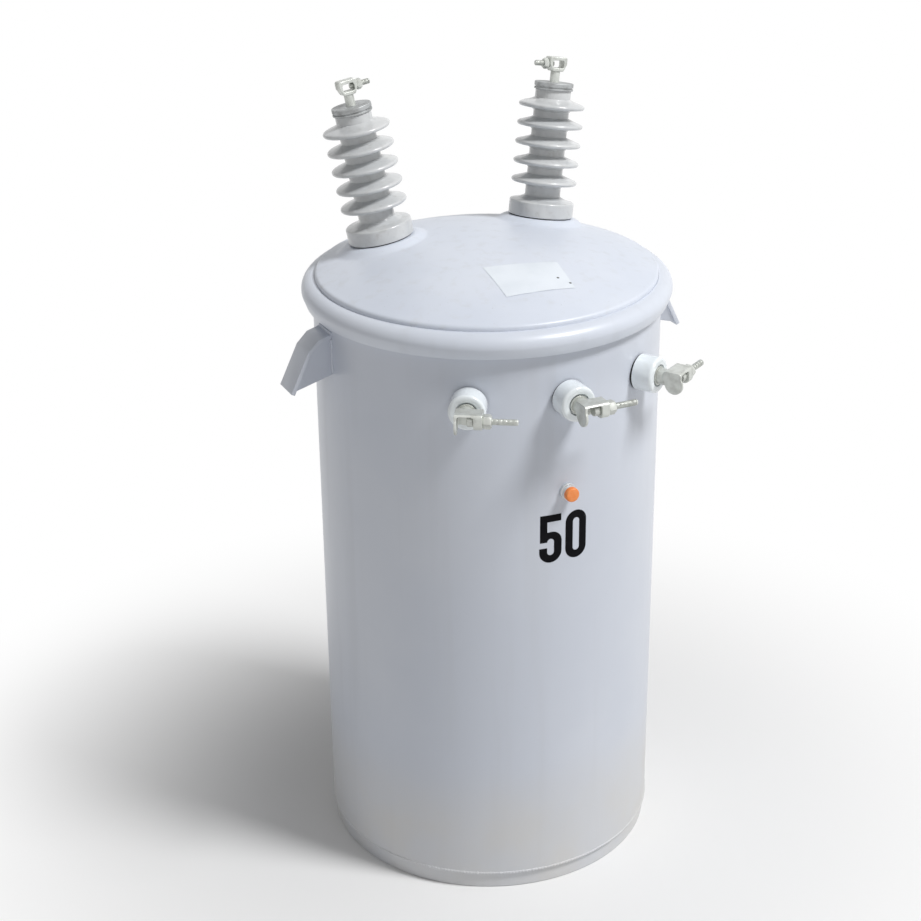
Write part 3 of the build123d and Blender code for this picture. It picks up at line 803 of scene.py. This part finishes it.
glaze = Finish("grey glazed porcelain", coat=0.55, coat_roughness=0.14)
cloud = glaze.rise(glaze.noise(22.0, 4.0), 0.35, 0.70)
soil = glaze.rise(glaze.noise(120.0, 5.0, shift=4.0), 0.50, 0.80)
tone = glaze.mix(cloud, (0.575, 0.590, 0.600), (0.650, 0.660, 0.662))
tone = glaze.mix(soil * 0.30, tone, (0.330, 0.315, 0.290))
glaze.bump(glaze.noise(160.0, 2.0), 0.00025, 0.35)
glaze.done(tone, 0.30 + soil * 0.25)


def smooth(points, steps=5):
    """A soft line through the points."""
    line = []
    for i in range(len(points) - 1):
        a, b, c, d = (Vector(points[max(0, min(len(points) - 1, i + k))]) for k in (-1, 0, 1, 2))
        for step in range(steps):
            t = step / steps
            bend = (2 * a - 5 * b + 4 * c - d) * t * t
            twist = (3 * b - a - 3 * c + d) * t ** 3
            line.append(0.5 * (2 * b + (c - a) * t + bend + twist))
    return line + [Vector(points[-1])]


sheds = Growth("sheds")
pitch = sheds.size("Pitch")
height = sheds.size("First")
places = sheds.node("GeometryNodeMeshLine", inputs={
    "Count": sheds.size("Count", "Int"),
    "Start Location": sheds.node("ShaderNodeCombineXYZ", inputs={2: height}),
    "Offset": sheds.node("ShaderNodeCombineXYZ", inputs={2: pitch}),
})
sheds.end(sheds.node("GeometryNodeInstanceOnPoints", inputs={"Points": places, "Instance": sheds.start}))

shed_line = smooth([
    (core_radius - 0.003, 0.0125),
    (core_radius + 0.0006, 0.0102),
    (core_radius + 0.006, 0.0078),
    (core_radius + 0.013, 0.0056),
    (shed_radius - 0.0030, 0.0034),
    (shed_radius - 0.0006, 0.0017),
    (shed_radius, -0.0004),
    (shed_radius - 0.0012, -0.0028),
    (shed_radius - 0.0040, -0.0036),
    (core_radius + 0.010, -0.0048),
    (core_radius + 0.003, -0.0062),
    (core_radius + 0.0004, -0.0085),
    (core_radius - 0.003, -0.0105),
])
one_shed = lathe("shed", shed_line, glaze.material, porcelain_segments, sharp=60.0)
trunk_line = rounded([
    (0.0, collar_bottom, 0.0),
    (collar_radius, collar_bottom, 0.0015),
    (collar_radius, collar_top, 0.0030),
    (core_radius + 0.010, collar_top + 0.0022, 0.003),
    (core_radius, collar_top + 0.0070, 0.004),
    (core_radius, porcelain_top, 0.0010),
    (0.0, porcelain_top, 0.0),
], steps=7)
shed_sizes = {"pitch": shed_pitch, "first": first_shed, "count": shed_count}
for side, place in seats.items():
    trunk = lathe("trunk", trunk_line, glaze.material, porcelain_segments, place, sharp=60.0)
    stack = sheds.grow("sheds", one_shed.copy(), material=glaze.material, **shed_sizes)
    stack.transform(place)
    piece("hv_porcelain_" + side, [trunk, stack], "hv_porcelain", "hv_insulator_" + side)

# HIGH VOLTAGE CAPS AND STEMS
# A cast cap with a groove closes the neck. A tinned bronze stem comes out of it, and a hexagon
# nut holds the stem down on the cap.
cap_radius = 0.029
cap_height = 0.011
stem_radius = 0.007
stem_height = 0.016

cast = Finish("cast cap metal", metallic=0.55)
skin = cast.rise(cast.noise(90.0, 5.0), 0.35, 0.75)
cast.bump(cast.noise(420.0, 3.0), 0.00015, 0.5)
cast.done(cast.mix(skin, (0.450, 0.465, 0.470), (0.320, 0.325, 0.325)), 0.48 + skin * 0.2)

tin = Finish("tinned bronze", metallic=0.45)
cloudy = tin.rise(tin.noise(75.0, 4.0), 0.35, 0.72)
pits = tin.rise(tin.noise(700.0, 3.0, shift=5.0), 0.60, 0.75)
tone = tin.mix(cloudy, (0.650, 0.670, 0.635), (0.500, 0.512, 0.480))
tone = tin.mix(pits * 0.25, tone, (0.340, 0.325, 0.300))
tin.bump(tin.noise(520.0, 3.0), 0.00012, 0.55)
tin.done(tone, 0.36 + cloudy * 0.16 + pits * 0.15)

groove = porcelain_top + cap_height / 3
cap_line = rounded([
    (stem_radius, porcelain_top, 0.0),
    (cap_radius, porcelain_top, 0.0008),
    (cap_radius, groove - 0.001, 0.0005),
    (cap_radius - 0.002, groove - 0.001, 0.0003),
    (cap_radius - 0.002, groove + 0.001, 0.0003),
    (cap_radius, groove + 0.001, 0.0005),
    (cap_radius, porcelain_top + cap_height, 0.0015),
    (stem_radius, porcelain_top + cap_height, 0.0),
])
stem_top = porcelain_top + cap_height + stem_height
stem_line = rounded([
    (0.0, porcelain_top + 0.001, 0.0),
    (stem_radius, porcelain_top + 0.001, 0.0),
    (stem_radius, stem_top, 0.0006),
    (0.0, stem_top, 0.0),
])
for side, place in seats.items():
    cap = lathe("cap", cap_line, cast.material, 96, place)
    piece("hv_top_cap_" + side, [cap], "hv_cap_metal", "hv_cap_" + side)
    stem = lathe("stem", stem_line, tin.material, 48, place)
    piece("hv_stud_" + side, [stem], "tinned_bronze", "hv_stem_" + side)

# HIGH VOLTAGE EYE CLAMPS
# A tin-plated bronze eye on each stem takes the lead, and a bolt from the side of the other
# bushing presses on it. Casting leaves its edges soft.
eye_middle = stem_top + 0.0105
eye_width = 0.028
eye_wall = 0.005
eye_bolt_radius = 0.004
eye_bolt_pitch = 0.00125
eye_bolt_point = 0.004
eye_bolt_tail = 0.0125
eye_nut_flats = 0.014
eye_nut_height = 0.008


def cast_copy(node, name, material, voxel, passes, keep=1.0):
    """A copy of a node with the soft edges of a casting."""
    shape = bmesh.new()
    shape.from_mesh(nodes[node].data)
    bmesh.ops.remove_doubles(shape, verts=shape.verts, dist=2e-6)
    mesh = bpy.data.meshes.new(name)
    shape.to_mesh(mesh)
    shape.free()
    source = bpy.data.objects.new(name, mesh)
    bpy.context.scene.collection.objects.link(source)
    remesh = source.modifiers.new("skin", "REMESH")
    remesh.mode = "VOXEL"
    remesh.voxel_size = voxel
    soften = source.modifiers.new("soften", "SMOOTH")
    soften.factor = 0.5
    soften.iterations = passes
    if keep < 1.0:
        thin = source.modifiers.new("thin", "DECIMATE")
        thin.ratio = keep
    made = bpy.data.meshes.new_from_object(source.evaluated_get(bpy.context.evaluated_depsgraph_get()))
    source.modifiers.clear()
    bpy.data.objects.remove(source)
    return shade(made, material, 60.0)


for side, place in seats.items():
    eye = cast_copy("hv_eye_clamp_" + side, "eye", tin.material, voxel=0.0007, passes=3)
    piece("hv_eye_" + side, [eye], "tinned_bronze", "hv_eye_clamp_" + side)
    bolt = directed(place @ Vector((0, 0, eye_middle)), place.col[0].to_3d(), place.col[2].to_3d())
    reach = eye_width / 2 - eye_wall - eye_bolt_point
    tail = eye_width / 2 + eye_nut_height
    piece("hv_eye_bolt_" + side, [
        thread(eye_bolt_radius, tail + eye_bolt_tail - reach, eye_bolt_pitch, tin.material, bolt, reach),
        hexagon(eye_nut_flats, eye_width / 2, tail, tin.material, bolt),
    ], "tinned_bronze", "hv_clamp_bolt_" + side)

# LOW VOLTAGE INSULATORS
# White glazed porcelain drums, drawn up against the wall by the stud that passes through each.
# The rounded face has a recess round the stud's nut.
drum_radius = 0.026
drum_start = 0.002
drum_end = 0.033
recess_radius = 0.0158
recess_floor = 0.028
lv_height = 0.8045
lv_spread = 31.5

white_glaze = Finish("white glazed porcelain", coat=0.8, coat_roughness=0.08)
cream = white_glaze.rise(white_glaze.noise(30.0, 3.0), 0.40, 0.75)
film_dust = white_glaze.rise(white_glaze.noise(150.0, 5.0, shift=6.0), 0.55, 0.85)
tone = white_glaze.mix(cream, (0.850, 0.900, 0.925), (0.800, 0.845, 0.865))
tone = white_glaze.mix(film_dust * 0.25, tone, (0.480, 0.460, 0.420))
white_glaze.bump(white_glaze.noise(120.0, 2.0), 0.0002, 0.3)
white_glaze.done(tone, 0.20 + film_dust * 0.25)

drum_line = rounded([
    (0.0, drum_start, 0.0),
    (drum_radius, drum_start, 0.0012),
    (drum_radius, drum_end, 0.0055),
    (recess_radius, drum_end, 0.0010),
    (recess_radius, recess_floor, 0.0010),
    (0.0, recess_floor, 0.0),
], steps=7)


def wall_frame(angle, level):
    """A frame on the tank wall: x to the right seen from outside, y up, z outwards."""
    outwards = Vector((cos(radians(angle)), sin(radians(angle)), 0))
    right = Vector((-outwards.y, outwards.x, 0))
    place = Matrix((right, Vector((0, 0, 1)), outwards)).transposed().to_4x4()
    place.translation = outwards * tank_radius + Vector((0, 0, level))
    return place


terminals = {
    "left": wall_frame(-90 - lv_spread, lv_height),
    "middle": wall_frame(-90, lv_height),
    "right": wall_frame(-90 + lv_spread, lv_height),
}
for side, place in terminals.items():
    drum = lathe("drum", drum_line, white_glaze.material, 96, place)
    piece("lv_porcelain_" + side, [drum], "lv_porcelain", "lv_insulator_" + side)

# LOW VOLTAGE CLAMPS
# A tin-plated bronze stirrup sits on each stud behind a thin hexagon nut. Its bolt runs along the
# wall through the right cheek, with a deep nut and a long threaded shank.
stud_radius = 0.007
stud_tip = 0.008
stud_nut = 0.005
stud_nut_flats = 0.024
washer_radius = 0.0136
washer = 0.0014
clamp_back = recess_floor + stud_nut + 0.012
clamp_right = 0.025
clamp_slot = 0.013
clamp_bolt_place = 0.017
clamp_bolt_rise = 0.002
clamp_bolt_nut = 0.012
clamp_nut_flats = 0.018
clamp_bolt_radius = 0.0045
clamp_bolt_pitch = 0.00125
clamp_bolt_tail = 0.034
clamp_end_radius = 0.0038
clamp_end = (0.033, 0.0358)
pad_radius = 0.008
pad_height = 0.0092


def turned(name, radius, low_end, high_end, roundings, place, segments):
    """A short round bar of tinned bronze, with the roundings of its low and its high edge."""
    return lathe(name, rounded([
        (0.0, low_end, 0.0),
        (radius, low_end, roundings[0]),
        (radius, high_end, roundings[1]),
        (0.0, high_end, 0.0),
    ]), tin.material, segments, place)


nut_face = recess_floor + stud_nut
for side, place in terminals.items():
    stud = turned("stud", stud_radius, recess_floor, nut_face + stud_tip, (0.0, 0.0008), place, 48)
    nut = hexagon(stud_nut_flats, recess_floor, nut_face - washer, tin.material, place)
    disc = turned("disc", washer_radius, nut_face - washer, nut_face, (0.0004, 0.0006), place, 72)
    piece("lv_stud_nut_" + side, [stud, nut, disc], "tinned_bronze", "lv_stud_" + side)
    stirrup = cast_copy("lv_clamp_" + side, "stirrup", tin.material, voxel=0.0006, passes=4, keep=0.5)
    piece("lv_stirrup_" + side, [stirrup], "tinned_bronze", "lv_clamp_" + side)
    bolt_middle = place @ Vector((0, clamp_bolt_rise, clamp_back + clamp_bolt_place))
    bolt = directed(bolt_middle, place.col[0].to_3d(), place.col[2].to_3d())
    reach = clamp_slot - pad_height
    tail = clamp_right + clamp_bolt_nut
    shank = tail + clamp_bolt_tail - clamp_slot
    low_end, high_end = (tail + length for length in clamp_end)
    piece("lv_stirrup_bolt_" + side, [
        turned("pad", pad_radius, reach, clamp_slot - 0.0002, (0.002, 0.002), bolt, 40),
        thread(clamp_bolt_radius, shank, clamp_bolt_pitch, tin.material, bolt, clamp_slot),
        hexagon(clamp_nut_flats, clamp_right, tail, tin.material, bolt),
        turned("end", clamp_end_radius, low_end, high_end, (0.0, 0.0015), bolt, 32),
    ], "tinned_bronze", "lv_clamp_bolt_" + side)

# PRESSURE RELIEF VALVE
# A turned aluminium body is screwed into the wall below the middle low voltage bushing. A faded
# orange plastic cap on its end keeps rain out.
valve_height = 0.662
valve_foot = 0.0002
valve_collar_radius = 0.012
valve_collar_end = 0.005
valve_neck_radius = 0.009
valve_neck_end = 0.011
valve_cap_radius = 0.0105
valve_cap_end = 0.019

machined = Finish("machined aluminium", metallic=0.5)
tooling = machined.noise(240.0, 3.0)
machined.bump(tooling, 0.00008, 0.5)
tone = machined.mix(tooling, (0.560, 0.590, 0.610), (0.680, 0.700, 0.710))
machined.done(tone, 0.42 + tooling * 0.15)
orange = Finish("faded orange plastic")
bleach = orange.rise(orange.noise(110.0, 3.0), 0.35, 0.75)
orange.bump(orange.noise(500.0, 2.0), 0.0001, 0.4)
orange.done(orange.mix(bleach, (0.860, 0.235, 0.045), (0.900, 0.330, 0.110)), 0.45 + bleach * 0.15)
valve = wall_frame(-90, valve_height)
valve_line = rounded([
    (0.0, valve_foot, 0.0),
    (valve_collar_radius, valve_foot, 0.0),
    (valve_collar_radius, valve_collar_end, 0.001),
    (valve_neck_radius, valve_collar_end, 0.0006),
    (valve_neck_radius, valve_neck_end, 0.0),
    (0.0, valve_neck_end, 0.0),
])
valve_cap_line = rounded([
    (0.0, valve_neck_end, 0.0),
    (valve_cap_radius, valve_neck_end, 0.0008),
    (valve_cap_radius, valve_cap_end, 0.003),
    (0.0, valve_cap_end, 0.0),
])
body = lathe("valve", valve_line, machined.material, 64, valve)
piece("valve_body", [body], "valve_metal", "relief_valve_body")
cap = lathe("valve_cap", valve_cap_line, orange.material, 64, valve)
piece("valve_cap", [cap], "valve_cap", "relief_valve_cap")

# LIFTING LUGS
# Bent steel strips on two webs each, by which the transformer is lifted. They are welded to the
# wall at its left and right and enamelled with the tank.
lug_half_width = 0.0225
lug_web_face = 0.0195
lug_top = 0.8604
lug_web_foot = 0.801
lug_web_levels = (lug_web_foot, 0.83, lug_top - 0.008)
eased_edge = 0.0008


def eased_copy(node, name, material, width):
    """A copy of a node with its edges eased."""
    shape = bmesh.new()
    shape.from_mesh(nodes[node].data)
    bmesh.ops.remove_doubles(shape, verts=shape.verts, dist=2e-6)
    bmesh.ops.dissolve_limit(shape, angle_limit=radians(1.0), verts=shape.verts, edges=shape.edges)
    between = [edge for edge in shape.edges if len(edge.link_faces) == 2]
    corners = [edge for edge in between if edge.calc_face_angle() > radians(32)]
    rounding = {"offset": width, "segments": 2, "profile": 0.5, "clamp_overlap": True}
    bmesh.ops.bevel(shape, geom=corners, affect="EDGES", **rounding)
    mesh = bpy.data.meshes.new(name)
    shape.to_mesh(mesh)
    shape.free()
    return shade(mesh, material)


def on_wall(x, z, angle):
    """A point on the wall, x measured round it from the given angle."""
    there = angle + x / tank_radius
    return (tank_radius * cos(there), tank_radius * sin(there), z)


for side, facing in {"left": pi, "right": 0.0}.items():
    lug = eased_copy("lifting_lug_" + side, "lug", tank_enamel, eased_edge)
    across = [on_wall(lug_half_width * step / 6, lug_top, facing) for step in range(-6, 7)]
    runs = [weld_run(across, width=0.0026)]
    for edge in (-1, 1):
        upright = [on_wall(edge * lug_web_face, z, facing) for z in lug_web_levels]
        runs.append(weld_run(upright, width=0.0022))
    piece("sling_lug_" + side, [lug] + runs, "tank_paint", "lifting_lug_" + side)

# HANGER BRACKETS
# Slotted steel plates on two webs each, by which the transformer hangs on a pole. They are welded
# on at the back, one above the other, and enamelled with the tank.
upper_bracket = 0.740
bracket_spacing = 0.28575
bracket_half_height = 0.040
bracket_weld_share = 0.97
web_faces = (-0.0352, -0.0288, 0.0288, 0.0352)
for level, middle in {"upper": upper_bracket, "lower": upper_bracket - bracket_spacing}.items():
    bracket = eased_copy("hanger_bracket_" + level, "bracket", tank_enamel, eased_edge)
    heights = [middle + bracket_half_height * bracket_weld_share * step for step in (-1, 0, 1)]
    runs = [weld_run([on_wall(x, z, pi / 2) for z in heights], width=0.0022) for x in web_faces]
    piece("pole_bracket_" + level, [bracket] + runs, "tank_paint", "hanger_bracket_" + level)

# EARTHING BOSS
# A round steel boss low at the back with a tapped hole for the earth lead's screw. It is welded
# on all round and enamelled with the tank.
boss_angle = 125.0
boss_height = 0.090
boss_radius = 0.019
boss_reach = 0.016
boss_hole = 0.0055
boss_hole_depth = 0.012
boss_weld_radius = boss_radius + 0.0002
boss_line = rounded([
    (0.0, boss_reach - boss_hole_depth, 0.0),
    (boss_hole, boss_reach - boss_hole_depth, 0.0),
    (boss_hole, boss_reach - 0.0008, 0.0),
    (boss_hole + 0.0008, boss_reach, 0.0),
    (boss_radius, boss_reach, 0.0012),
    (boss_radius, -0.004, 0.0),
    (0.0, -0.004, 0.0),
])
boss = lathe("boss", boss_line, tank_enamel, 64, wall_frame(boss_angle, boss_height))
boss_ring = []
for a in range(0, 360, 10):
    x, z = boss_weld_radius * cos(radians(a)), boss_height + boss_weld_radius * sin(radians(a))
    boss_ring.append(on_wall(x, z, radians(boss_angle)))
boss_bead = weld_run(boss_ring, width=0.0024, closed=True)
piece("earth_boss", [boss, boss_bead], "tank_paint", "earthing_boss")

# STUDIO
# A pale floor that fades to white, soft lamps and the camera at the photograph's angle. The world
# is white where it is seen and lights the object less. None of this is part of the object.
floor_radius = 14.0
floor_top = -0.0005
floor_bottom = -0.0105
world_light = 0.26
aim = Vector((0.3838, 0.8232, -0.4184))
camera_roll = radians(-0.655)
camera_place = Vector((-1.1733, -2.4191, 1.8424))


def background_share(tree):
    """1 for the rays that show the background: straight to the camera, mirrored or through glass."""
    rays = tree.tree.nodes.new("ShaderNodeLightPath")
    share = Number(tree, rays.outputs["Is Camera Ray"])
    for kind in ("Is Glossy Ray", "Is Transmission Ray"):
        share = share.larger(Number(tree, rays.outputs[kind]))
    return share


floor_paint = Finish("pale floor")
length = {"operation": "LENGTH"}
distance = floor_paint.node("ShaderNodeVectorMath", length, {0: floor_paint.place}, output="Value")
floor_paint.shader.inputs["Base Color"].default_value = (0.86, 0.86, 0.86, 1)
floor_paint.shader.inputs["Roughness"].default_value = 0.9
white = floor_paint.tree.nodes.new("ShaderNodeEmission")
white.inputs["Color"].default_value = (1, 1, 1, 1)
fade = floor_paint.rise(distance, 0.28, 1.1) * background_share(floor_paint)
blend = floor_paint.tree.nodes.new("ShaderNodeMixShader")
output = floor_paint.tree.nodes["Material Output"]
floor_paint.tree.links.new(fade.socket, blend.inputs[0])
floor_paint.tree.links.new(floor_paint.shader.outputs[0], blend.inputs[1])
floor_paint.tree.links.new(white.outputs[0], blend.inputs[2])
floor_paint.tree.links.new(blend.outputs[0], output.inputs[0])
floor_line = [(0.0, floor_bottom), (floor_radius, floor_bottom)]
floor_line += [(floor_radius, floor_top), (0.0, floor_top)]
floor = bpy.data.objects.new("floor", lathe("floor", floor_line, floor_paint.material, 64))
bpy.context.scene.collection.objects.link(floor)

world = bpy.data.worlds.new("studio")
world.use_nodes = True
bpy.context.scene.world = world
sky = Tree(world.node_tree)
strength = world_light + background_share(sky) * (1 - world_light)
background = world.node_tree.nodes["Background"]
background.inputs["Color"].default_value = (1, 1, 1, 1)
world.node_tree.links.new(strength.socket, background.inputs["Strength"])


def lamp(name, place, target, size, watts):
    """A round soft lamp that shines from its place on a target."""
    light = bpy.data.lights.new(name, "AREA")
    light.shape = "DISK"
    light.size = size
    light.energy = watts
    holder = bpy.data.objects.new(name, light)
    holder.location = place
    holder.rotation_euler = (Vector(target) - Vector(place)).to_track_quat("-Z", "Y").to_euler()
    bpy.context.scene.collection.objects.link(holder)


lamp("key lamp", (2.64, -3.15, 6.2), target=(0, 0, 0.55), size=1.7, watts=390)
lamp("fill lamp", (-2.8, -1.6, 1.8), target=(0, 0, 0.5), size=2.2, watts=3)

camera = bpy.data.objects.new("camera", bpy.data.cameras.new("camera"))
camera.data.lens = 76.1
camera.data.sensor_width = 36.0
camera.data.clip_end = 60.0
forward = aim.normalized()
level_right = forward.cross(Vector((0, 0, 1))).normalized()
level_up = level_right.cross(forward)
right = level_right * cos(camera_roll) + level_up * sin(camera_roll)
up = level_up * cos(camera_roll) - level_right * sin(camera_roll)
view = Matrix((right, up, -forward)).transposed().to_4x4()
view.translation = camera_place
camera.matrix_world = view
bpy.context.scene.collection.objects.link(camera)
bpy.context.scene.camera = camera
bpy.context.scene.view_settings.view_transform = "Standard"
